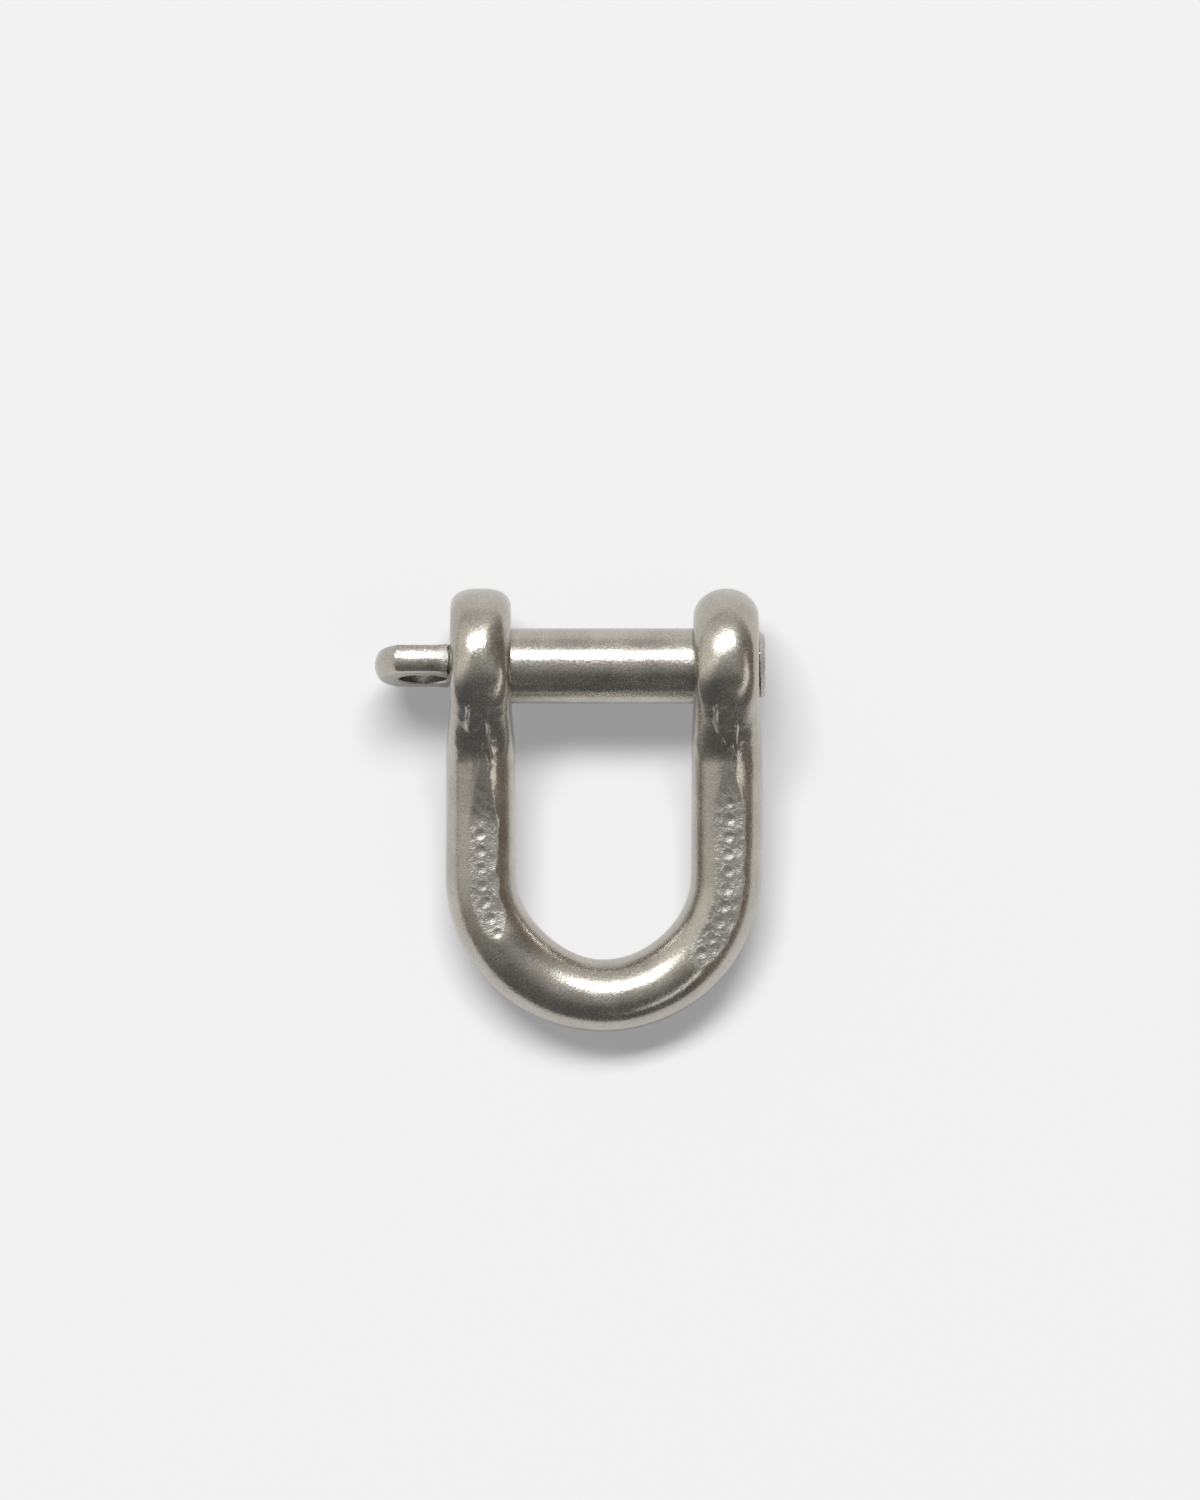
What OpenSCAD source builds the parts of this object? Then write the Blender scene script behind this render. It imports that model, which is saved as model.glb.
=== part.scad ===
// Screw-pin D shackle for joining chain: a forged stainless bow and its flattened-lug pin.
// It lies on its side as it comes to rest, with both eyes and the crown on the floor.
// X runs along the pin, with the lug towards -X. The bow reaches from the pin towards -Y. +Z is up.
// The origin is on the pin's axis, in the middle plane of the bow. Sizes are in millimetres.

/* [Pin] */
// Diameter of the pin's round shank
pin_d = 5; // [4:0.1:5.6]
// Radial clearance between the pin and the bores of both ears
pin_clear = 0.05; // [0.02:0.01:0.1]
// How far the threaded end stands proud of the tapped ear
pin_proud = 0.4; // [0.1:0.1:1.5]
// Bevel on the threaded end
pin_bevel = 0.5; // [0.2:0.1:0.9]

/* [Lug] */
// Reach of the lug from the plain ear's outer face to the end of its arch
lug_reach = 5; // [4.6:0.1:7]
// Width of the flattened lug across the pin
lug_w = 6.4; // [5.8:0.1:7.6]
// Thickness of the flattened lug
lug_t = 1.85; // [1.4:0.05:2.4]
// Radius of the lug's arched end
lug_arch_r = 4.5; // [4:0.1:6]
// Radius of the bulge that squeezing leaves around the lug's rim
lug_rim_r = 2.2; // [1.3:0.1:4]
// Diameter of the lug's hole
lug_hole_d = 3.2; // [2:0.1:3.3]
// Distance from the plain ear's outer face to the centre of the lug's hole
lug_hole_in = 1.8; // [1.75:0.05:2.2]
// Gap between the lug's shoulder and the plain ear when the pin is home
lug_gap = 0.1; // [0.05:0.05:0.5]
// Length over which the round shank is squeezed down to the lug
lug_squeeze = 1; // [0.6:0.1:2]
// Lean of the lug from upright, as the pin was left when it was screwed home
lug_lean = 10; // [0:1:40]

/* [Eyes] */
// Outer diameter of both eyes
eye_d = 9.7; // [9:0.1:11.5]
// How far the middle of each eye lies past the pin's axis, away from the crown
eye_out = 0.3; // [0:0.05:0.6]
// Thickness of the ear with the plain bore
plain_ear_t = 4.05; // [3.9:0.05:4.4]
// Thickness of the ear with the tapped bore
tapped_ear_t = 4.35; // [4:0.05:4.5]
// How far in from the eye's rim the plain ear is rounded over
plain_rim = 1.4; // [0.8:0.1:1.8]
// How far in from the eye's rim the tapped ear is rounded over
tapped_rim = 1.4; // [0.8:0.1:1.8]

/* [Bow] */
// Distance between the centre lines of the legs
leg_spacing = 16.3; // [15.6:0.1:17]
// Diameter of the legs below the eyes
leg_d = 4.6; // [4.4:0.05:5]
// Diameter of the bar round the crown
crown_d = 4.8; // [4.4:0.05:5.6]
// Clear length inside the bow, from the pin to the crown
inside_len = 17.2; // [15:0.1:26]
// Hollow radius that runs each leg out into its eye, seen from the side
neck_hollow = 16; // [6:0.5:18]
// Thickness of the two arms of the neck that run round into the eye's rim
neck_arm_d = 3.9; // [3.6:0.05:4]

/* [Struck flats] */
// Depth to which the upper side of the bar is struck flat
flat_depth = 0.12; // [0.05:0.01:0.3]
// Distance from the pin's axis to the start of the flat on the plain ear's leg
plain_flat_start = 8.4; // [8:0.1:10.5]
// Angle round the crown at which that flat ends, from the leg
plain_flat_end = 32; // [5:1:60]
// Distance from the pin's axis to the start of the flat on the tapped ear's leg
tapped_flat_start = 8.6; // [8:0.1:10.5]
// Angle round the crown at which that flat ends, from the leg
tapped_flat_end = 46; // [5:1:60]

/* [Hidden] */
$fn = 64;
steel = [0.66, 0.63, 0.58];
// How far a blended form is sunk into its neighbour, so that the two cross cleanly
sink = 0.05;
// Cutters reach this far past what they cut
past = 1;
// Steps in a drawn round
arc_steps = 16;
pin_r = pin_d / 2;
bore_r = pin_r + pin_clear;
eye_r = eye_d / 2;
leg_r = leg_d / 2;
crown_r = crown_d / 2;
arm_r = neck_arm_d / 2;
bend_r = leg_spacing / 2;
// Outer faces of the ears: each ear is centred on its leg
plain_face = bend_r + plain_ear_t / 2;
tapped_face = bend_r + tapped_ear_t / 2;
// Centre line of the crown, and the centre of the crown's bend, from the pin's axis
crown_reach = pin_r + inside_len + crown_r;
bend_y = crown_reach - bend_r;
// The neck's arms leave the leg, follow an arc about a point beside it and end along the eye's rim
arm_start_z = leg_r - sink - arm_r;
arm_path_r = neck_hollow + arm_r;
arm_rim_r = eye_r - sink - arm_r;
arm_centre_z = arm_start_z + arm_path_r;
neck_len = sqrt(pow(arm_path_r + arm_rim_r, 2) - pow(arm_centre_z, 2));
arm_turn = atan2(neck_len, arm_centre_z);
// Where each leg ends and its neck begins
neck_y = eye_out - neck_len;
// Lying on its side, the bow leans until its crown meets the floor that the eyes stand on
lie_tilt = asin((eye_r - crown_r) / (crown_reach + eye_out));
lug_end = -plain_face - lug_reach;
lug_root = -plain_face - lug_gap;
pin_tip = tapped_face + pin_proud;

// Points on an oval of the given half axes about [x, 0], from one angle to another
function arc(x, rx, ry, from, to) =
    [for (i = [0:arc_steps]) let (a = from + (to - from) * i / arc_steps) [x + rx * cos(a), ry * sin(a)]];

// Turns what stands along Z so that it lies along X
module along_x() {
    rotate([0, 90, 0]) children();
}

// Eye of one ear: a disc with an oval rim, centred on its own thickness
module eye(t, rim) {
    along_x() rotate_extrude() polygon(concat([[0, -t / 2]], arc(eye_r - rim, rim, t / 2, -90, 90), [[0, t / 2]]));
}

// One arm of the neck: a round bar that bends away from the leg and lands along the eye's rim
module neck_arm() {
    translate([0, -neck_len, arm_centre_z])
        along_x()
            rotate_extrude(angle = arm_turn) translate([arm_path_r, 0]) circle(r = arm_r);
}

// Neck of one ear: an arm above, an arm below and the web of metal between them
module neck() {
    land_y = -arm_rim_r * sin(arm_turn);
    land_z = arm_rim_r * cos(arm_turn);
    web_t = 2 * (arm_r - sink);
    neck_arm();
    mirror([0, 0, 1]) neck_arm();
    along_x()
        linear_extrude(web_t, center = true)
            polygon([[0, -neck_len], [-land_z, land_y], [land_z, land_y]]);
}

// One leg: tapers up from the crown, then runs out inside an ear of the given thickness
module leg(ear_t) {
    run_out = neck_len - eye_r / 2;
    translate([0, neck_y, 0]) rotate([90, 0, 0]) cylinder(h = bend_y + neck_y, r1 = leg_r, r2 = crown_r);
    translate([0, neck_y, 0]) rotate([-90, 0, 0]) cylinder(h = run_out, r1 = leg_r, r2 = ear_t / 2 - sink);
}

// Cutter for a struck flat: a plane just under the top of the bar, along one leg and on round the crown
module struck_flat(start, turn) {
    reach = bend_r + crown_r + past;
    inner = bend_r - crown_r - past;
    floor_z = leg_r - flat_depth;
    translate([inner, -bend_y - sink, floor_z]) cube([reach - inner, bend_y + sink - start, eye_r]);
    translate([0, -bend_y, floor_z])
        rotate([0, 0, -turn])
            rotate_extrude(angle = turn) translate([inner, 0]) square([reach - inner, eye_r]);
}

// One side of the bow on +X: eye, neck and leg
module bow_side(ear_t, rim) {
    translate([bend_r, eye_out, 0]) eye(ear_t, rim);
    translate([bend_r, eye_out, 0]) neck();
    translate([bend_r, 0, 0]) leg(ear_t);
}

module bow() {
    color(steel)
    rotate([lie_tilt, 0, 0])
    difference() {
        union() {
            bow_side(tapped_ear_t, tapped_rim);
            mirror([1, 0, 0]) bow_side(plain_ear_t, plain_rim);
            translate([0, -bend_y, 0])
                rotate([0, 0, 180])
                    rotate_extrude(angle = 180) translate([bend_r, 0]) circle(r = crown_r);
        }
        along_x() cylinder(h = 2 * (tapped_face + plain_face), r = bore_r, center = true);
        struck_flat(tapped_flat_start, tapped_flat_end);
        mirror([1, 0, 0]) struck_flat(plain_flat_start, plain_flat_end);
    }
}

// Section of the squeezed lug from its middle out to its bulged rim, for a rim at the given half width
function lug_section(half) =
    let (swell = asin(lug_t / 2 / lug_rim_r))
    concat([[0, -lug_t / 2]], arc(half - lug_rim_r, lug_rim_r, lug_rim_r, -swell, swell), [[0, lug_t / 2]]);

// Lug lying flat in XY: a straight bar with bulged edges, ended by the arch and by its shoulders at the ear
module lug() {
    lug_len = lug_root - lug_end;
    intersection() {
        translate([lug_end, 0, 0])
            along_x()
                linear_extrude(lug_len)
                    union() {
                        rotate(90) polygon(lug_section(lug_w / 2));
                        rotate(-90) polygon(lug_section(lug_w / 2));
                    }
        translate([lug_end + lug_arch_r, 0, 0]) rotate_extrude() polygon(lug_section(lug_arch_r));
    }
}

// Shank along X: round through both ears, squeezed at its root to the lug's thickness, bevelled at its tip
module shank() {
    root_end = lug_root + lug_squeeze;
    intersection() {
        union() {
            translate([lug_root - past, 0, 0])
                along_x()
                    cylinder(h = pin_tip - pin_bevel - lug_root + past, r = pin_r);
            translate([pin_tip - pin_bevel, 0, 0])
                along_x()
                    cylinder(h = pin_bevel, r1 = pin_r, r2 = pin_r - pin_bevel);
        }
        rotate([90, 0, 0])
            linear_extrude(pin_d + 2 * past, center = true)
                polygon([
                    [lug_root - past / 2, -lug_t / 2],
                    [lug_root, -lug_t / 2],
                    [root_end, -pin_r - sink],
                    [pin_tip + past, -pin_r - sink],
                    [pin_tip + past, pin_r + sink],
                    [root_end, pin_r + sink],
                    [lug_root, lug_t / 2],
                    [lug_root - past / 2, lug_t / 2]]);
    }
}

module pin() {
    color(steel)
    rotate([90 - lug_lean, 0, 0])
    difference() {
        union() {
            lug();
            shank();
        }
        translate([-plain_face - lug_hole_in, 0, 0]) cylinder(h = lug_t + 2 * past, d = lug_hole_d, center = true);
    }
}

bow();
pin();
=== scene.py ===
import math

import bpy
import numpy as np
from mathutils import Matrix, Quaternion, Vector, noise


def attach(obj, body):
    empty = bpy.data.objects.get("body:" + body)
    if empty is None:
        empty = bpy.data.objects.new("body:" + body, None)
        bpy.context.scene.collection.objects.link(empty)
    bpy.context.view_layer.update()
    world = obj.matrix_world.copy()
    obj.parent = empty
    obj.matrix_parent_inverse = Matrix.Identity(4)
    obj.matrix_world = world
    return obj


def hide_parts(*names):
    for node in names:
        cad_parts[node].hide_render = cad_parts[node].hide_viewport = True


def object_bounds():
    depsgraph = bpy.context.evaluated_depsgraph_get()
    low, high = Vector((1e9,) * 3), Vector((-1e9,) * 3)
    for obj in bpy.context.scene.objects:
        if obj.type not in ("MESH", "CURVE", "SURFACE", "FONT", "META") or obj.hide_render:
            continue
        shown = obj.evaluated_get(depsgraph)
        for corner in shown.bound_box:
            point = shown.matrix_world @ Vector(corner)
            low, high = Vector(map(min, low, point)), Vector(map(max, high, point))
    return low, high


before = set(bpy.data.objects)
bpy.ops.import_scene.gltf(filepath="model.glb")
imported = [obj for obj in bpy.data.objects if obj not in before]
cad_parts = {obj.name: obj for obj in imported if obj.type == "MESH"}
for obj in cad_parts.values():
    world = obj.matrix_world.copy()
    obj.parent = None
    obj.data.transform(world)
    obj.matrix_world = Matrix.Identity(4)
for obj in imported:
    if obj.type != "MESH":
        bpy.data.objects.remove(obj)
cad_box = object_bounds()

# Bow: one bar of stainless steel, forged into an eye at each end, bent round into a D and tumbled bright.
# The upper side of both legs is struck flat by a die, which leaves a rough strip with a raised lip.
# It lies on its side and leans from the eyes down to the crown. Sizes are in millimetres until meshed.
mm = 0.001
# Eyes: their radius, how far past the pin's axis their middles lie and their rim's rounding, half the
# thickness of the plain and of the tapped ear, and the bores with their broken edges
eye_r, eye_out, ear_rim = 4.85, 0.3, 1.4
plain_half, tapped_half = 2.025, 2.175
bore_r, bore_break = 2.55, 0.15
# Bar: the legs, the crown, the bend's centre line and outer side, and the crown's reach from the pin's axis
leg_r, crown_r = 2.3, 2.4
bend_r, bend_outer = 8.15, 10.49
crown_reach = 22.1
bend_y = crown_reach - bend_r
lie_tilt = math.asin((eye_r - crown_r) / (crown_reach + eye_out))
# Necks: a slope off the eye and a hollow into the leg, tighter on the upper side than underneath
upper_hollow, under_hollow = 4.0, 16.0
upper_slope = math.radians(33)
under_slope = math.acos((leg_r + under_hollow) / (eye_r + under_hollow))


def neck_run(slope, hollow):
    """Length of the neck's straight run off the eye, and how far below the eye's middle the leg starts."""
    straight = ((eye_r + hollow) * np.cos(slope) - leg_r - hollow) / np.sin(slope)
    return straight, (eye_r + hollow) * np.sin(slope) + straight * np.cos(slope)


neck_y = eye_out - neck_run(under_slope, under_hollow)[1]
upper_neck_y = eye_out - neck_run(upper_slope, upper_hollow)[1]


def ease(value, start, end):
    """0 before start, 1 after end and a smooth rise between them."""
    t = np.clip((value - start) / (end - start), 0.0, 1.0)
    return t * t * (3 - 2 * t)


def span(value, start, full, fading, end):
    """Rises from 0 at start to 1 at full, and falls from there at fading to 0 at end."""
    return ease(value, start, full) * (1 - ease(value, fading, end))


def soft_max(a, b, blend):
    """The larger of two values, rounded where they cross."""
    h = np.clip(0.5 + 0.5 * (a - b) / blend, 0.0, 1.0)
    return b + (a - b) * h + blend * h * (1 - h)


# What the hammer left uneven: the crests of the eyes and of the crown lean aside by a share of their half
# width, the necks and the top of the plain eye are squarer than an oval, the bar swells at the bend's
# shoulders, and the tapped ear's leg is fuller on its outer side
plain_crest, tapped_crest, crown_crest = 0.1, 0.05, 0.1
plain_square, tapped_square, plain_square_top = 1.5, 0.9, 0.6
plain_swell, tapped_swell = 0.12, 0.06
side_slim, outer_full, tapped_top_rim = 0.06, 0.12, 0.5
# Where each of these comes in and goes out, as heights on the side from the pin's axis
widening_y, rimming_y = (-6.0, -1.8), (-7.5, -1.5)
crest_y = (-0.5, 2.0, 2.2, 4.5)
square_neck_y, square_top_y = (-6.4, -4.2, -0.9, 1.3), (2.5, 4.5)
outer_full_y, tapped_top_y = (-bend_y, -11.0, -4.0, -1.5), (1.5, 4.2)


def lean_crest(aside, crest):
    """Moves the middle of a section aside and leaves its edges where they are."""
    return aside - crest * np.clip(1 - aside ** 2, 0, 1)


def eye_and_leg(x, y, z):
    """Below 0 inside the eye, neck and leg of a side: its outline, made thick and given an oval rim."""
    plain = x < 0
    up, from_eye = np.abs(z), y - eye_out
    down_leg = np.clip((neck_y - y) / (bend_y + neck_y), 0, 1)
    bar_r = leg_r + (crown_r - leg_r) * down_leg
    hollow = np.where(z > 0, upper_hollow, under_hollow)
    slope = np.where(z > 0, upper_slope, under_slope)
    straight, neck_len = neck_run(slope, hollow)
    outward = up * np.cos(slope) - from_eye * np.sin(slope)
    downward = -from_eye * np.cos(slope) - up * np.sin(slope)
    hollowed = hollow - np.hypot(from_eye + neck_len, up - leg_r - hollow)
    outline = np.hypot(from_eye, z) - eye_r
    outline = np.where(downward > 0, outward - eye_r, outline)
    outline = np.where(downward > straight, hollowed, outline)
    outline = np.where(from_eye < -neck_len, up - bar_r, outline)
    leg_half = bar_r - side_slim * down_leg
    leg_half = leg_half + np.where(x > bend_r, outer_full, 0.0) * span(y, *outer_full_y)
    ear_half = np.where(plain, plain_half, tapped_half)
    half = leg_half + (ear_half - leg_half) * ease(y, *widening_y)
    rim = bar_r + (ear_rim - bar_r) * ease(y, *rimming_y)
    rim = rim + np.where(plain, 0.0, tapped_top_rim) * ease(y, *tapped_top_y)
    crest = np.where(plain, plain_crest, tapped_crest) * span(y, *crest_y)
    aside = lean_crest((np.abs(x) - bend_r) / half, crest)
    power = 2 + np.where(plain, plain_square, tapped_square) * span(y, *square_neck_y)
    power = power + np.where(plain, plain_square_top, 0.0) * ease(y, *square_top_y)
    return (np.maximum(outline + rim, 0) / rim) ** power + np.abs(aside) ** power - 1


def crown_bar(x, y, z):
    """Below 0 inside the bent bar, which keeps a round outer side while it swells inwards."""
    down = np.arctan2(-(y + bend_y), np.abs(x))
    swell = np.where(x < 0, plain_swell, tapped_swell) * np.sin(2 * down) ** 2
    half = crown_r + swell - side_slim * np.cos(down) ** 2
    crest = np.where(z > 0, crown_crest, 0) * np.sin(down) ** 2
    aside = lean_crest((np.hypot(x, y + bend_y) - (bend_outer - half)) / half, crest)
    return np.hypot(aside, z / crown_r) - 1


def bow_depth(x, y, z):
    return np.where(y > -bend_y, eye_and_leg(x, y, z), crown_bar(x, y, z))


def ring_angles(top_count, rest_count, top_span):
    """Angles round a section, closer together within top_span degrees of its top."""
    top = np.linspace(90 - top_span, 90 + top_span, top_count, endpoint=False)
    rest = np.linspace(90 + top_span, 450 - top_span, rest_count, endpoint=False)
    return np.radians(np.concatenate([top, rest]))


def cast_rings(depth, centres, across, upward, reach, angles, halvings=40):
    """Finds the skin along rays from each ring's centre. Wide rings get rays spread as on an ellipse."""
    spread = np.cos(angles)[None, :, None] * across[:, None, :]
    spread = spread + np.sin(angles)[None, :, None] * upward[:, None, :]
    rays = spread / np.linalg.norm(spread, axis=2, keepdims=True)
    near = np.zeros(rays.shape[:2])
    far = np.full(rays.shape[:2], reach)
    for _ in range(halvings):
        middle = (near + far) / 2
        p = centres[:, None, :] + rays * middle[:, :, None]
        inside = depth(p[..., 0], p[..., 1], p[..., 2]) < 0
        near = np.where(inside, middle, near)
        far = np.where(inside, far, middle)
    return centres[:, None, :] + rays * ((near + far) / 2)[:, :, None], rays


def stations(start, end, step):
    return np.linspace(start, end, max(2, round(abs(end - start) / step)), endpoint=False)


# Rings run from the top of the plain eye down its leg, round the crown and up to the top of the tapped eye.
# They are closest together between struck_from and struck_to along the bar.
struck_from, struck_to = 4.6, 21.6
struck_step, neck_step, crown_step = 0.07, 0.12, 0.13
eye_rings, eye_ring_top = 40, math.radians(88.6)
least_up, ear_foot_y = 0.3, -1.5
half_across, ray_reach = 2.2, 8.0
quarter_bend = bend_r * math.pi / 2
eye_y = eye_out + eye_r * np.sin(np.linspace(eye_ring_top, 0, eye_rings, endpoint=False))
straight_y = np.concatenate([eye_y, stations(eye_out, -struck_from, neck_step),
                             stations(-struck_from, -bend_y, struck_step)])
bend_run = np.concatenate([stations(0, struck_to - bend_y, struck_step),
                           stations(struck_to - bend_y, quarter_bend, crown_step), [quarter_bend]])
centres, across, along, half_up = [], [], [], []
for side in (-1, 1):
    half = []
    for y in straight_y:
        eye_up = math.sqrt(max(eye_r ** 2 - max(y - eye_out, 0) ** 2, least_up ** 2))
        reach_up = leg_r + (eye_up - leg_r) * float(ease(y, neck_y, ear_foot_y))
        half.append(((side * bend_r, y, 0), (side, 0, 0), -y, reach_up))
    for turn in bend_run / bend_r:
        out = (side * math.cos(turn), -math.sin(turn), 0)
        half.append(((bend_r * out[0], bend_r * out[1] - bend_y, 0), out, bend_y + bend_r * turn, crown_r))
    for centre, out, distance, reach_up in half if side < 0 else half[-2::-1]:
        centres.append(centre)
        across.append(out)
        along.append(distance * side)
        half_up.append(reach_up)
centres, across, along, half_up = (np.array(v, float) for v in (centres, across, along, half_up))
upward = np.outer(half_up, (0, 0, 1))
angles = ring_angles(top_count=58, rest_count=70, top_span=28)
skin, rays = cast_rings(bow_depth, centres, across * half_across, upward, ray_reach, angles)


def grain(points, size, seed):
    """Smooth noise between about -1 and 1 at each point, with features of the given size."""
    shift = Vector([seed * step for step in (17.3, 5.1, 9.7)])
    return np.array([noise.noise(Vector(p) / size + shift) for p in points])


def layered(points, layers):
    """Adds up layers of grain, each a height, a size and a seed."""
    return sum(high * grain(points, size, seed) for high, size, seed in layers)


# Forging leaves the skin a little wavy, and folds it on the necks, where the hammer drew the eye out.
# The skin is set back, so that the waves stay within the bar's full size.
waves, set_back = [(0.014, 3.1, 1), (0.003, 1.1, 2)], 0.006
folds, fold_draw = [(0.045, 0.9, 3), (0.022, 0.42, 4)], (1.0, 0.35, 1.0)
fold_y, fold_z = (-9.5, -6.0, -3.5, -0.5), (0.6, 1.8)
skin_points = skin.reshape(-1, 3)
skin_x, skin_y, skin_z = skin_points.T
wave = layered(skin_points, waves) - set_back
drawn = skin_points * np.array(fold_draw)
for high, size, seed in folds:
    wave -= span(skin_y, *fold_y) * ease(skin_z, *fold_z) * high * np.abs(grain(drawn, size, seed))

# Short ridges that the forging die left along the upper side of the necks, one row each: the shift from the
# leg's centre line and the height on the side where it starts, the same two where it ends, how high it is
# and half its width
ridges = {-1: [(-0.86, -2.0, -0.84, -4.3, 0.12, 0.17), (0.38, -2.9, 0.7, -6.4, 0.1, 0.15)],
          1: [(-0.8, -2.0, -0.52, -4.4, 0.12, 0.17), (0.6, -3.1, 0.74, -5.7, 0.1, 0.15)]}
sway, sway_turn = 0.05, 8
ridge_span = (0.0, 0.2, 0.7, 1.0)
for side, rows in ridges.items():
    upper_side = (skin_z > 0) & (skin_x * side > 0)
    for from_x, from_y, to_x, to_y, high, half_wide in rows:
        t = (skin_y - from_y) / (to_y - from_y)
        line_x = side * bend_r + from_x + (to_x - from_x) * t + sway * np.sin(sway_turn * t)
        ridge = high * np.clip(1 - np.abs(skin_x - line_x) / half_wide, 0, 1) * span(t, *ridge_span)
        wave += np.where(upper_side, ridge, 0)
skin = skin + rays * wave.reshape(skin.shape[:2] + (1,))

# Struck strips, by side: where along the bar each starts and ends, how slowly it comes in, how deep it is
# and where it turns from smooth to rough. The die came down a little askew, deeper to the right, and touched
# only the bar's top, above top_z.
strips = {-1: {"start": 5.4, "fade": 5.5, "end": 19.6, "depth": 0.17, "roughens": (8.2, 12.0)},
          1: {"start": 5.4, "fade": 4.6, "end": 21.6, "depth": 0.18, "roughens": (6.6, 9.6)}}
strip_roll = math.tan(math.radians(5))
end_fade, start_lift, top_z = 3.2, 0.07, 1.4
on_side = np.sign(along)[:, None]
distance = np.abs(along)[:, None] + np.zeros(skin.shape[:2])
from_centre = skin - centres[:, None, :]
to_right = from_centre[..., 0]
offset = np.einsum("ijk,ik->ij", from_centre, across)
up_neck = np.clip(-upper_neck_y - distance, 0, upper_hollow * math.sin(upper_slope))
crest = leg_r + upper_hollow - np.sqrt(upper_hollow ** 2 - up_neck ** 2)
crest = crest + (crown_r - leg_r) * ease(distance, -neck_y, bend_y)
strip_depth, roughened = np.zeros(distance.shape), np.zeros(distance.shape)
under_die = np.zeros(distance.shape, bool)
for side, strip in strips.items():
    full, fading = strip["start"] + strip["fade"], strip["end"] - end_fade
    pressed = span(distance, strip["start"], full, fading, strip["end"])
    here = (on_side == side) & (pressed > 0)
    strip_depth = np.where(here, strip["depth"] * pressed - start_lift * (1 - pressed), strip_depth)
    roughened = np.where(on_side == side, ease(distance, *strip["roughens"]), roughened)
    under_die = under_die | here
top = skin[..., 2] > top_z
under_die = under_die & top
strip_points = np.stack([offset, distance, on_side + 0 * offset], axis=2)[under_die]


def strip_grain(layers):
    """Layered grain over the strips alone, laid out along the bar."""
    values = np.zeros(under_die.shape)
    values[under_die] = layered(strip_points, layers)
    return values


# The strips' floor ripples and is rough, and its edge wanders. The metal that was pressed out stands as a
# lip on the right, where the border is sharp. On the left and where a strip comes in, the border is soft.
ripple = strip_grain([(0.30, 1.5, 5), (0.22, 0.6, 6)])
tooth = strip_grain([(1.0, 0.15, 7), (0.4, 0.33, 8)])
wander = strip_grain([(0.022, 0.5, 11)])
far_below = 1.0
floor_edge, dull_edge = (0.0, 0.05), (-0.07, 0.0)
dull_from, dull_run = -0.03, 0.13
lip_out, lip_half, lip_full_depth = 0.03, 0.035, 0.1
over_middle = (-0.2, 0.3)
die_face = crest - strip_depth * (1 + ripple) - strip_roll * to_right + wander
below = np.where(under_die, die_face - skin[..., 2], far_below)
in_strip = ease(-below, *floor_edge)
lip = np.where(strip_depth > 0, np.exp(-((below - lip_out) / lip_half) ** 2), 0)
lip = lip * np.clip(strip_depth / lip_full_depth, 0, 1) * ease(to_right, *over_middle)
dulled = ease(-below, *dull_edge) * np.clip((strip_depth - dull_from) / dull_run, 0, 1) * roughened

# A plain row of punched dots along each strip: how far along the bar the first one is, how many there are,
# and the first and the last one's shift from the bar's centre line
dot_rows = {-1: (11.0, 7, 0.05, -0.25), 1: (8.9, 10, 0.2, 0.05)}
dot_r, dot_deep, dot_gap, dot_wall = 0.33, 0.06, 1.15, (-0.24, 0.04)
burr_high, burr_out, burr_half, burr_on_lip = 0.012, 0.1, 0.06, 0.6
punched = np.zeros(distance.shape)
for side, (first, count, first_shift, last_shift) in dot_rows.items():
    for place, shift in zip(first + dot_gap * np.arange(count), np.linspace(first_shift, last_shift, count)):
        away = np.hypot(offset - shift, distance - place) - dot_r
        burr = burr_high * np.exp(-((away - burr_out) / burr_half) ** 2)
        dent = dot_deep * (1 - ease(away, *dot_wall)) - burr
        punched = np.where((on_side == side) & top & (np.abs(dent) > np.abs(punched)), dent, punched)
punched = punched * np.clip(in_strip + burr_on_lip * lip, 0, 1)
sharp_border, soft_border = 0.01, 0.05
tooth_high, smooth_share, dot_smooths, dot_smooth_deep = 0.02, 0.25, 0.7, 0.03
lip_high, lip_tooth = 0.025, 0.016
border = sharp_border + soft_border * np.maximum(ease(-to_right, *over_middle), 1 - roughened)
lowered = np.where(under_die, -soft_max(-skin[..., 2], -die_face, border), skin[..., 2])
toothed = in_strip * (smooth_share + (1 - smooth_share) * roughened)
toothed = toothed * (1 - dot_smooths * np.clip(punched / dot_smooth_deep, 0, 1))
lowered = lowered + toothed * tooth_high * tooth + lip * (lip_high + lip_tooth * tooth) - punched
skin = np.stack([skin[..., 0], skin[..., 1], lowered], axis=2)
tilt_c, tilt_s = math.cos(lie_tilt), math.sin(lie_tilt)


def lay_down(p):
    """Leans a point of the bow so that the crown comes down to the floor."""
    x, y, z = p[..., 0], p[..., 1], p[..., 2]
    return np.stack([x, y * tilt_c - z * tilt_s, y * tilt_s + z * tilt_c], axis=-1)


def ring_mesh(name, rings, closing):
    """A closed tube through rings of points, with a fan to the given point at each end."""
    count, around = rings.shape[:2]
    points = np.concatenate([rings.reshape(-1, 3), np.array(closing)])
    faces = []
    for i in range(count - 1):
        for j in range(around):
            k = (j + 1) % around
            faces.append((i * around + j, i * around + k, (i + 1) * around + k, (i + 1) * around + j))
    first, last = count * around, count * around + 1
    for j in range(around):
        k = (j + 1) % around
        faces.append((first, k, j))
        faces.append((last, (count - 1) * around + j, (count - 1) * around + k))
    mesh = bpy.data.meshes.new(name)
    mesh.from_pydata(points.tolist(), [], faces)
    mesh.update()
    piece = bpy.data.objects.new(name, mesh)
    bpy.context.scene.collection.objects.link(piece)
    return piece


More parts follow.
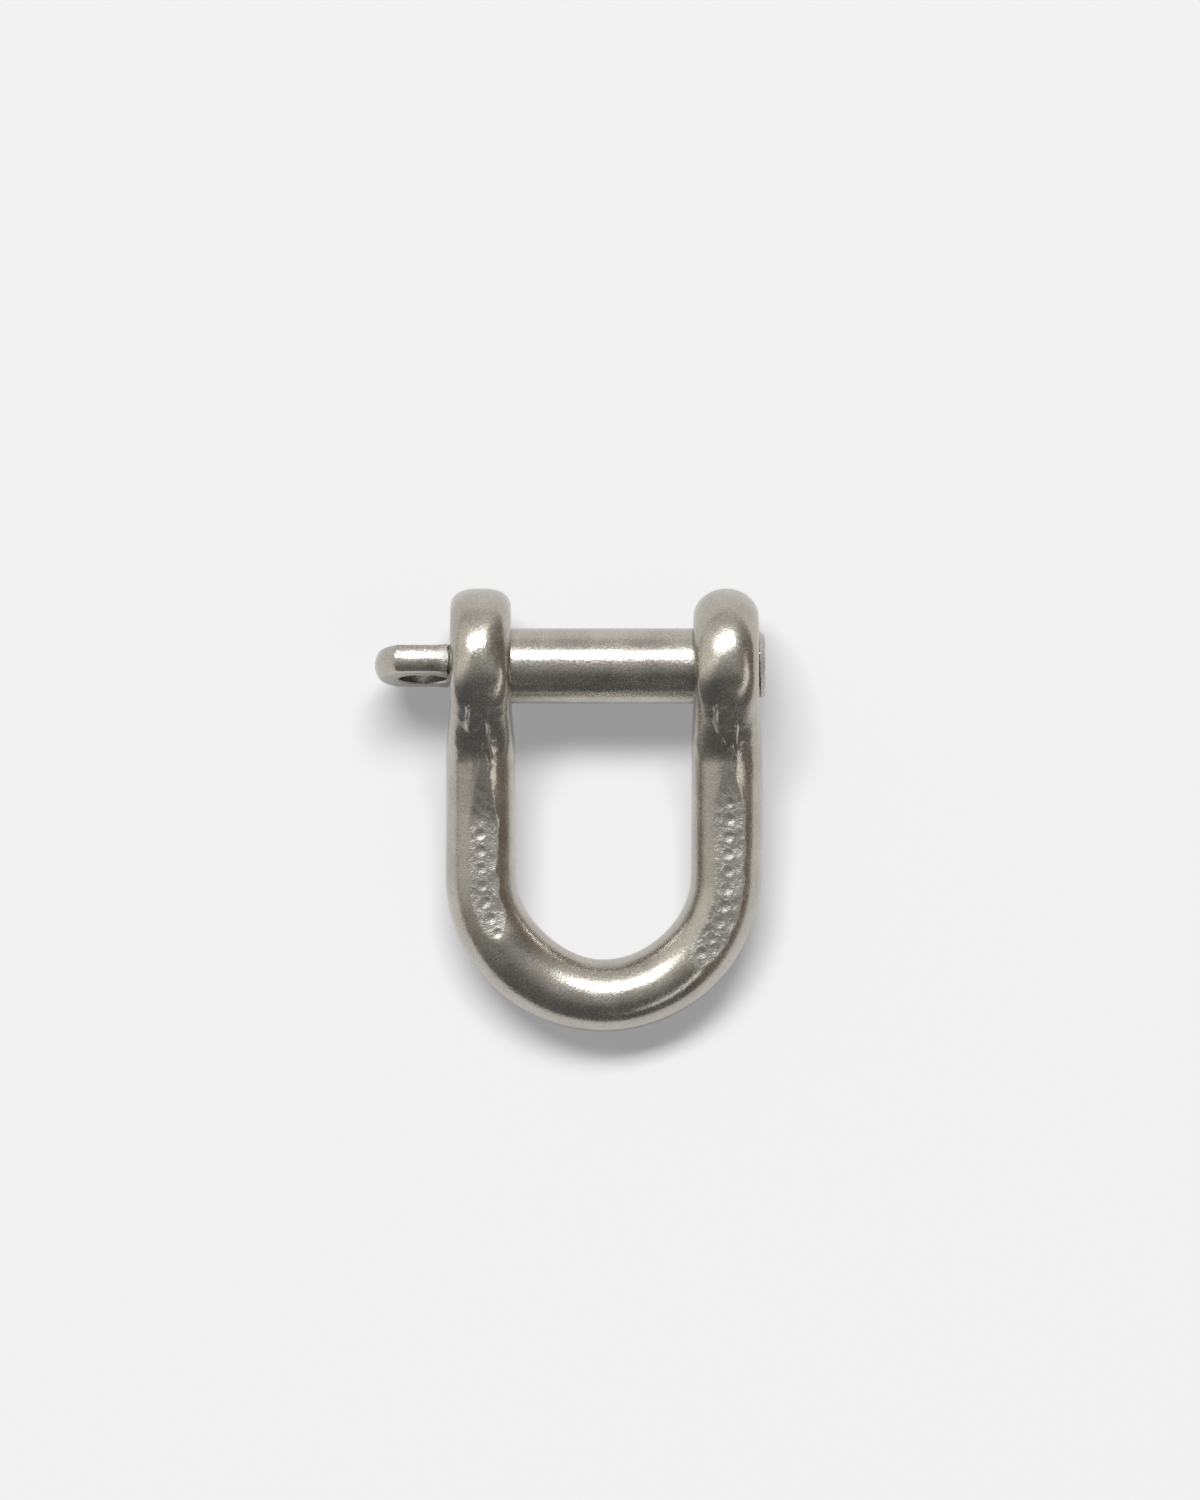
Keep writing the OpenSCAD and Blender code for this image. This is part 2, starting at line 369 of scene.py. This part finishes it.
def mark_rough(piece, amount):
    """Stores how rough each point is, from 0 for tumbled to 1 for struck metal. The steel is also darker by
    it, partly as painted shade at the lug's root.
    """
    piece.data.attributes.new("rough", "FLOAT", "POINT").data.foreach_set("value", np.clip(amount, 0, 1))


def turned_cutter(name, profile, place=lambda p: p, around=96):
    """A solid of revolution about X from (x, radius) points, moved by place, to cut a hole with."""
    turn = np.linspace(0, 2 * np.pi, around, endpoint=False)
    rings = np.array([[(x, r * np.cos(t), r * np.sin(t)) for t in turn] for x, r in profile])
    ends = np.array([(profile[0][0], 0, 0), (profile[-1][0], 0, 0)])
    points = np.concatenate([rings.reshape(-1, 3), ends])
    points = np.array([place(Vector(p)) for p in points]) * mm
    return ring_mesh(name, points[:-2].reshape(rings.shape), points[-2:])


def cut(piece, cutters):
    """Cuts the cutters out of the piece and throws them away."""
    for cutter in cutters:
        step = piece.modifiers.new("cut", "BOOLEAN")
        step.operation = "DIFFERENCE"
        step.solver = "EXACT"
        step.object = cutter
    shown = piece.evaluated_get(bpy.context.evaluated_depsgraph_get())
    finished = bpy.data.meshes.new_from_object(shown)
    piece.modifiers.clear()
    piece.data = finished
    for cutter in cutters:
        bpy.data.objects.remove(cutter)


def smooth_with_edges(piece, angle):
    """Shades the piece smooth, apart from edges sharper than the angle in degrees."""
    piece.data.shade_smooth()
    piece.data.set_sharp_from_angle(angle=math.radians(angle))


eye_tops = np.array([(-bend_r, eye_out + eye_r, 0.0), (bend_r, eye_out + eye_r, 0.0)])
bow = ring_mesh("bow_forging", lay_down(skin) * mm, lay_down(eye_tops) * mm)
mark_rough(bow, np.concatenate([dulled.reshape(-1), [0, 0]]))
plain_face, tapped_face = bend_r + plain_half, bend_r + tapped_half
thread_pitch, tap_depth, cut_past = 0.8, 0.27, 1


def bore_profile(inner, outer, groove=0.0):
    """A bore through one ear with its edges broken, and with thread grooves of the given depth along it."""
    wide = bore_r + bore_break + cut_past
    first, last = inner + bore_break, outer - bore_break
    steps = np.arange(first, last, thread_pitch / 2)[1:-1] if groove else []
    thread = [(x, bore_r + groove * (i % 2 == 0)) for i, x in enumerate(steps)]
    return [(inner - cut_past, wide), (first, bore_r), *thread, (last, bore_r), (outer + cut_past, wide)]


plain_bore = turned_cutter("plain_bore", bore_profile(-plain_face, -bend_r + plain_half))
tapped_bore = turned_cutter("tapped_bore", bore_profile(bend_r - tapped_half, tapped_face, tap_depth))
cut(bow, [plain_bore, tapped_bore])
smooth_with_edges(bow, angle=38)


def steel(name, tint_low, tint_high, rough_low, rough_high, grain_depth):
    """Tumbled stainless: warm grey with cloudy gloss and a fine pitted grain, dull and darker where marked
    rough, which is partly painted shade at the lug's root.
    """
    cloud_size, patch_size, speck_size, pit_size, tooth_size = 2.4, 3.3, 0.14, 0.33, 0.13
    # Darker tint where marked rough: struck steel's own colour on the bow, partly painted shade at the lug's
    # root by the ear
    struck_and_shade_tint, struck_and_shade_share, struck_dull, tooth_depth = (0.34, 0.335, 0.32), 0.6, 0.26, 0.04
    material = bpy.data.materials.new(name)
    material.use_nodes = True
    nodes, links = material.node_tree.nodes, material.node_tree.links
    shader = nodes["Principled BSDF"]
    shader.inputs["Metallic"].default_value = 1.0
    place = nodes.new("ShaderNodeTexCoord")
    marked = nodes.new("ShaderNodeAttribute")
    marked.attribute_name = "rough"
    struck = marked.outputs["Fac"]

    def texture_of(kind, size):
        texture = nodes.new(kind)
        texture.inputs["Scale"].default_value = 1 / (size * mm)
        links.new(place.outputs["Object"], texture.inputs["Vector"])
        return texture

    def noise_of(size, detail):
        texture = texture_of("ShaderNodeTexNoise", size)
        texture.inputs["Detail"].default_value = detail
        return texture.outputs["Fac"]

    def ranged(value, low, high, from_low=0.0, from_high=1.0):
        step = nodes.new("ShaderNodeMapRange")
        step.inputs["From Min"].default_value = from_low
        step.inputs["From Max"].default_value = from_high
        step.inputs["To Min"].default_value = low
        step.inputs["To Max"].default_value = high
        links.new(value, step.inputs["Value"])
        return step.outputs["Result"]

    def joined(operation, a, b):
        step = nodes.new("ShaderNodeMath")
        step.operation = operation
        links.new(a, step.inputs[0])
        links.new(b, step.inputs[1])
        return step.outputs["Value"]

    def mixed(factor, below, over):
        step = nodes.new("ShaderNodeMix")
        step.data_type = "RGBA"
        links.new(factor, step.inputs["Factor"])
        step.inputs["B"].default_value = (*over, 1)
        if isinstance(below, tuple):
            step.inputs["A"].default_value = (*below, 1)
        else:
            links.new(below, step.inputs["A"])
        return step.outputs["Result"]

    def bumped(height, strength, depth):
        step = nodes.new("ShaderNodeBump")
        step.inputs["Distance"].default_value = depth * mm
        links.new(strength, step.inputs["Strength"])
        links.new(height, step.inputs["Height"])
        return step

    cloud, speck = noise_of(cloud_size, detail=4), noise_of(speck_size, detail=2)
    mottle = joined("ADD", ranged(cloud, 0.0, 0.7, 0.35, 0.65), ranged(speck, -0.35, 0.65, 0.3, 0.7))
    tint = mixed(mottle, tint_low, tint_high)
    # Mixes in the darker tint by the rough mark, which at the lug's root is partly painted shade
    links.new(mixed(ranged(struck, 0.0, struck_and_shade_share), tint, struck_and_shade_tint), shader.inputs["Base Color"])
    polish = ranged(cloud, rough_low, rough_high, 0.3, 0.7)
    gloss = joined("ADD", polish, ranged(speck, -0.04, 0.04, 0.3, 0.7))
    links.new(joined("ADD", gloss, ranged(struck, 0.0, struck_dull)), shader.inputs["Roughness"])
    patchy = ranged(noise_of(patch_size, detail=2), 0.35, 1.0, 0.35, 0.65)
    pits = texture_of("ShaderNodeTexVoronoi", pit_size).outputs["Distance"]
    pitted = joined("ADD", speck, ranged(pits, 0.0, 0.4, 0.08, 0.3))
    fine = bumped(pitted, joined("MAXIMUM", patchy, struck), grain_depth)
    coarse = bumped(noise_of(tooth_size, detail=2), struck, tooth_depth)
    links.new(fine.outputs["Normal"], coarse.inputs["Normal"])
    links.new(coarse.outputs["Normal"], shader.inputs["Normal"])
    return material


bow_steel = steel("forged_stainless", tint_low=(0.41, 0.388, 0.349), tint_high=(0.54, 0.51, 0.453),
                  rough_low=0.21, rough_high=0.27, grain_depth=0.013)
bow.data.materials.clear()
bow.data.materials.append(bow_steel)
# The metal throws no glints onto the paper, only its shadow
bow.visible_diffuse = False
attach(bow, "bow")
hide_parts("bow")

# Screw pin: one round stainless bar, squeezed flat and drilled at one end for a lug, threaded at the other.
# It passes through the plain eye and screws into the tapped one. It was left with its lug leaning back.
pin_r = 2.5
pin_tip, tip_bevel = tapped_face + 0.4, 0.5
lug_end, lug_root = -plain_face - 4.99, -plain_face - 0.1
lug_half_w, lug_half_t = 3.2, 0.925
# Radii of the lug's arched end and of the bulge round its rim, which is tighter on the side of the crown
lug_arch_r, lug_rim_r, lug_crown_rim_r = 4.5, 1.6, 1.35
lug_arch_x = lug_end + lug_arch_r
lug_lean = math.radians(10)
arch_round, face_round, least_rim = 0.04, 0.12, 0.1
# The squeeze runs out along the shank, and the lug is a little thicker at its root
squeeze_end, squeeze_round, squeeze_slack = lug_root + 1.0, 0.1, 0.1
root_from, root_extra = lug_root - 1.0, 0.06
hole_x, hole_r, hole_break = -plain_face - 1.8, 1.6, 0.08
thread_start, thread_root, thread_run_in = 5.9, 2.08, 0.8


def pin_depth(x, v, w):
    """Below 0 inside the pin, where v runs up the lug's width and w across its thickness."""
    flatten = lug_half_t + squeeze_slack + (pin_r - lug_half_t) * ease(x, lug_root, squeeze_end)
    shank = soft_max(np.hypot(v, w) - pin_r, np.abs(w) - flatten, squeeze_round)
    rim_r = np.where(w < 0, lug_rim_r, lug_crown_rim_r)
    bulge = rim_r - np.sqrt(np.maximum(rim_r ** 2 - w ** 2, least_rim ** 2))
    sides = np.abs(v) + bulge - lug_half_w
    arch = np.hypot(x - lug_arch_x, v) + bulge - lug_arch_r
    half_t = lug_half_t + root_extra * ease(x, root_from, lug_root)
    plate = soft_max(soft_max(sides, arch, arch_round), np.abs(w) - half_t, face_round)
    return np.where(x > lug_root, shank, plate)


# Rings crowd towards the end of the lug's arch and along the thread
arch_share, arch_rings, lug_rings, root_rings, shank_rings, thread_rings = 0.3, 34, 44, 18, 70, 132
end_gap = lug_arch_r * (np.linspace(0.02, 1, arch_rings) ** 2) * arch_share
pin_x = np.concatenate([lug_end + end_gap,
                        np.linspace(lug_end + end_gap[-1], lug_root, lug_rings)[1:],
                        np.linspace(lug_root, squeeze_end, root_rings)[1:],
                        np.linspace(squeeze_end, thread_start, shank_rings)[1:],
                        np.linspace(thread_start, pin_tip, thread_rings)[1:]])
pin_centres = np.outer(pin_x, (1, 0, 0))
to_v = np.outer(np.where(pin_x < lug_root, lug_half_w, pin_r), (0, 1, 0))
to_w = np.outer(np.where(pin_x < lug_root, lug_half_t, pin_r), (0, 0, 1))
pin_reach = 6.0
angles = ring_angles(top_count=64, rest_count=64, top_span=90)
pin_skin, pin_rays = cast_rings(pin_depth, pin_centres, to_w, to_v, pin_reach, angles)

# Thread: one ridge that winds along the end of the shank and fades in from plain bar
flank_rise, flank_low = 2.3, 0.45
ring_x = pin_x[:, None]
turn = np.arctan2(pin_skin[..., 1], pin_skin[..., 2])
phase = (ring_x / thread_pitch + turn / (2 * np.pi)) % 1.0
ridge = np.clip(flank_rise * (1 - np.abs(2 * phase - 1)) - flank_low, 0, 1)
cut_in = ease(ring_x, thread_start, thread_start + thread_run_in)
bevel = np.clip(pin_tip - ring_x, 0, tip_bevel) + pin_r - tip_bevel
thread_r = np.minimum(pin_r - cut_in * (pin_r - thread_root) * (1 - ridge), bevel)
round_now = np.hypot(pin_skin[..., 1], pin_skin[..., 2])
shrink = np.where(ring_x > thread_start, thread_r / round_now, 1.0)
pin_skin = np.stack([pin_skin[..., 0], pin_skin[..., 1] * shrink, pin_skin[..., 2] * shrink], axis=2)

# The bar is a little worn all over, and rough at the lug's root where the squeezing tool bit into it.
# That root is also darkened, partly as painted shade where the lug meets the ear.
wear, nip_deep, nip_size, nip_seed = [(0.006, 1.9, 8), (0.003, 0.5, 9)], 0.04, 0.3, 10
pin_points = pin_skin.reshape(-1, 3)
nip_from, nip_full = lug_root - 0.8, lug_root - 0.25
nipped_and_shaded = span(pin_points[:, 0], nip_from, nip_full, lug_root, squeeze_end)
worn = np.abs(layered(pin_points, wear)) + nipped_and_shaded * nip_deep * np.abs(grain(pin_points, nip_size, nip_seed))
pin_skin = pin_skin - pin_rays * worn.reshape(pin_skin.shape[:2] + (1,))
lean_c, lean_s = math.cos(lug_lean), math.sin(lug_lean)


def turn_home(p):
    """Turns a point of the pin from the lug's own width and thickness to how the pin was left."""
    x, v, w = p[..., 0], p[..., 1], p[..., 2]
    return np.stack([x, v * lean_s - w * lean_c, v * lean_c + w * lean_s], axis=-1)


pin_ends = np.array([(lug_end, 0.0, 0.0), (pin_tip, 0.0, 0.0)])
pin = ring_mesh("screw_pin", turn_home(pin_skin)[:, ::-1] * mm, turn_home(pin_ends) * mm)
lug_rough = 0.08
squeezed = lug_rough * (pin_points[:, 0] < lug_root)
# The root's rough mark darkens its steel: partly painted shade beside the ear
mark_rough(pin, np.concatenate([np.maximum(nipped_and_shaded, squeezed), [0, 0]]))
hole_half, flare_half, flare_r = lug_half_t - hole_break, 2, hole_r + 1.3
hole_profile = [(-flare_half, flare_r), (-hole_half, hole_r), (hole_half, hole_r), (flare_half, flare_r)]
lug_hole = turned_cutter("lug_hole", hole_profile, lambda p: turn_home(np.array((hole_x + p.y, p.z, p.x))))
cut(pin, [lug_hole])
smooth_with_edges(pin, angle=32)
pin_steel = steel("bar_stainless", tint_low=(0.39, 0.37, 0.333), tint_high=(0.55, 0.518, 0.461),
                  rough_low=0.23, rough_high=0.28, grain_depth=0.016)
# The lug hole's wall gets near-black steel: painted shade inside the hole
hole_shade_steel = steel("lug_hole_painted_shade", tint_low=(0.17, 0.16, 0.145), tint_high=(0.26, 0.245, 0.22),
                      rough_low=0.3, rough_high=0.4, grain_depth=0.03)
pin.data.materials.clear()
pin.data.materials.append(pin_steel)
pin.data.materials.append(hole_shade_steel)
# Faces round the hole's wall take the dark steel, as painted shade
for face in pin.data.polygons:
    x, y, z = face.center / mm
    if math.hypot(x - hole_x, y * lean_s + z * lean_c) < hole_r + hole_break / 2:
        face.material_index = 1
pin.visible_diffuse = False
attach(pin, "pin")
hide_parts("pin")

# Floor: a sheet of smooth white paper that the shackle lies on.
# It has a faint light of its own for the camera and the metal, so that it reads as white beside its shadow.
floor_z = cad_box[0][2]
floor_half = 1.5
paper_white, paper_glow, paper_rough, paper_sheen = 0.948, 0.31, 0.9, 0.1
corners = [(-1, -1), (1, -1), (1, 1), (-1, 1)]
floor_mesh = bpy.data.meshes.new("floor")
floor_mesh.from_pydata([(x * floor_half, y * floor_half, floor_z) for x, y in corners], [], [(0, 1, 2, 3)])
floor = bpy.data.objects.new("floor", floor_mesh)
bpy.context.scene.collection.objects.link(floor)
paper = bpy.data.materials.new("white_paper")
paper.use_nodes = True
paper_nodes, paper_links = paper.node_tree.nodes, paper.node_tree.links
paper_shader = paper_nodes["Principled BSDF"]
paper_shader.inputs["Base Color"].default_value = (paper_white, paper_white, paper_white, 1)
paper_shader.inputs["Roughness"].default_value = paper_rough
paper_shader.inputs["Specular IOR Level"].default_value = paper_sheen
paper_shader.inputs["Emission Color"].default_value = (paper_glow, paper_glow, paper_glow, 1)
seen_by = paper_nodes.new("ShaderNodeLightPath")
seen = paper_nodes.new("ShaderNodeMath")
seen.operation = "MAXIMUM"
paper_links.new(seen_by.outputs["Is Camera Ray"], seen.inputs[0])
paper_links.new(seen_by.outputs["Is Glossy Ray"], seen.inputs[1])
paper_links.new(seen.outputs["Value"], paper_shader.inputs["Emission Strength"])
floor_mesh.materials.append(paper)

# Light: one soft box above the far side of the shackle, in a dim room that only the metal shows.
# The room is paler overhead, at the far side and on the left, browner on the right, with a strip light under
# its ceiling. The paper takes no light from it, so the one shadow there is the soft box's.
box_away, box_wide, box_tall = 12.0, math.radians(41), math.radians(14)
box_lean, box_aside, box_spin = math.radians(32.5), math.radians(-5.5), math.radians(4)
box_level = 13.3
box_light = bpy.data.lights.new("soft_box", "AREA")
box_light.shape = "RECTANGLE"
box_light.size = 2 * box_away * math.tan(box_wide / 2)
box_light.size_y = 2 * box_away * math.tan(box_tall / 2)
box_light.energy = box_level * math.pi * box_light.size * box_light.size_y
soft_box = bpy.data.objects.new("soft_box", box_light)
toward = Vector((math.sin(box_aside),
                 math.cos(box_aside) * math.sin(box_lean),
                 math.cos(box_aside) * math.cos(box_lean)))
soft_box.location = box_away * toward
soft_box.rotation_euler = (toward.to_track_quat("Z", "Y") @ Quaternion((0, 0, 1), box_spin)).to_euler()
bpy.context.scene.collection.objects.link(soft_box)
world = bpy.data.worlds.new("dim_room")
world.use_nodes = True
bpy.context.scene.world = world
room, room_links = world.node_tree.nodes, world.node_tree.links


def rise(value, start, end):
    """Goes smoothly from 0 to 1 as the value goes from start to end."""
    step = room.new("ShaderNodeMapRange")
    step.interpolation_type = "SMOOTHSTEP"
    step.inputs["From Min"].default_value = start
    step.inputs["From Max"].default_value = end
    room_links.new(value, step.inputs["Value"])
    return step.outputs["Result"]


def worked(operation, a, b):
    """One sum on two values, each a socket or a number."""
    step = room.new("ShaderNodeMath")
    step.operation = operation
    for socket, value in zip(step.inputs, (a, b)):
        if isinstance(value, float):
            socket.default_value = value
        else:
            room_links.new(value, socket)
    return step.outputs["Value"]


def both(a, b):
    return worked("MULTIPLY", a, b)


def lit(colour, amount, below):
    """Adds a colour by the given amount to the room's light so far, or to the colour that it starts from."""
    step = room.new("ShaderNodeMix")
    step.data_type = "RGBA"
    step.blend_type = "ADD"
    step.inputs["B"].default_value = (*colour, 1)
    room_links.new(amount, step.inputs["Factor"])
    if isinstance(below, tuple):
        step.inputs["A"].default_value = (*below, 1)
    else:
        room_links.new(below, step.inputs["A"])
    return step.outputs["Result"]


look = room.new("ShaderNodeTexCoord")
direction = room.new("ShaderNodeSeparateXYZ")
room_links.new(look.outputs["Generated"], direction.inputs["Vector"])
east, north, up = direction.outputs["X"], direction.outputs["Y"], direction.outputs["Z"]
room_dim, overhead_pale, far_pale = (0.13, 0.132, 0.132), (0.31, 0.308, 0.298), (0.21, 0.204, 0.19)
west_pale, east_brown, halo_pale = (0.55, 0.52, 0.47), (0.11, 0.073, 0.047), (0.45, 0.44, 0.41)
strip_white, paper_seen = (1.9, 1.87, 1.77), (0.887, 0.887, 0.887)
overhead = both(rise(north, -0.6, 0.1), rise(east, 0.75, 0.3))
west = both(both(rise(east, -0.15, -0.55), rise(up, -0.1, 0.4)),
            both(rise(north, -0.9, 0.4), rise(north, 0.85, 0.5)))
halo = both(both(rise(north, 0.45, 0.6), rise(north, 0.9, 0.65)),
            both(rise(east, 0.45, 0.2), rise(east, -0.5, -0.25)))
# The strip light runs straight across a level ceiling, so it is placed by how far out it is for its height
strip_turn, strip_out, strip_half, strip_edge, lowest_up = math.radians(-26), 1.0, 0.12, 0.05, 0.05
ahead = worked("ADD", both(east, math.cos(strip_turn)), both(north, math.sin(strip_turn)))
ahead = worked("DIVIDE", ahead, worked("MAXIMUM", up, lowest_up))
strip_near, strip_far = strip_out - strip_half, strip_out + strip_half
strip_light = both(rise(ahead, strip_near - strip_edge, strip_near),
                   rise(ahead, strip_far + strip_edge, strip_far))
strip_light = both(strip_light, both(rise(north, 0.2, 0.1), rise(east, 0.12, 0.3)))
glow = lit(overhead_pale, overhead, room_dim)
glow = lit(far_pale, rise(north, 0.35, 0.9), glow)
glow = lit(west_pale, west, glow)
glow = lit(east_brown, rise(east, 0.45, 0.8), glow)
glow = lit(halo_pale, halo, glow)
glow = lit(strip_white, strip_light, glow)
ray = room.new("ShaderNodeLightPath")
seen_room = room.new("ShaderNodeMix")
seen_room.data_type = "RGBA"
seen_room.inputs["B"].default_value = (*paper_seen, 1)
room_links.new(ray.outputs["Is Camera Ray"], seen_room.inputs["Factor"])
room_links.new(glow, seen_room.inputs["A"])
backdrop = room["Background"]
room_links.new(seen_room.outputs["Result"], backdrop.inputs["Color"])
room_links.new(worked("SUBTRACT", 1.0, ray.outputs["Is Diffuse Ray"]), backdrop.inputs["Strength"])
bpy.context.scene.view_settings.view_transform = "Standard"

# Camera: straight above, with the pin across the picture and the crown towards its foot.
# A long lens keeps the view nearly parallel. The origin, on the pin's axis, falls at pin_centre_px.
photo_px = (1200, 1500)
px_per_mm = 15.06
pin_centre_px = (603.3, 665.9)
lens_mm, sensor_mm = 600, 36
camera_data = bpy.data.cameras.new("camera")
camera_data.lens = lens_mm
camera_data.sensor_width = sensor_mm
camera_data.clip_start = 0.01
camera = bpy.data.objects.new("camera", camera_data)
height = photo_px[1] / px_per_mm * mm * lens_mm / sensor_mm
camera.location = ((photo_px[0] / 2 - pin_centre_px[0]) / px_per_mm * mm,
                   (pin_centre_px[1] - photo_px[1] / 2) / px_per_mm * mm, height)
bpy.context.scene.collection.objects.link(camera)
bpy.context.scene.camera = camera
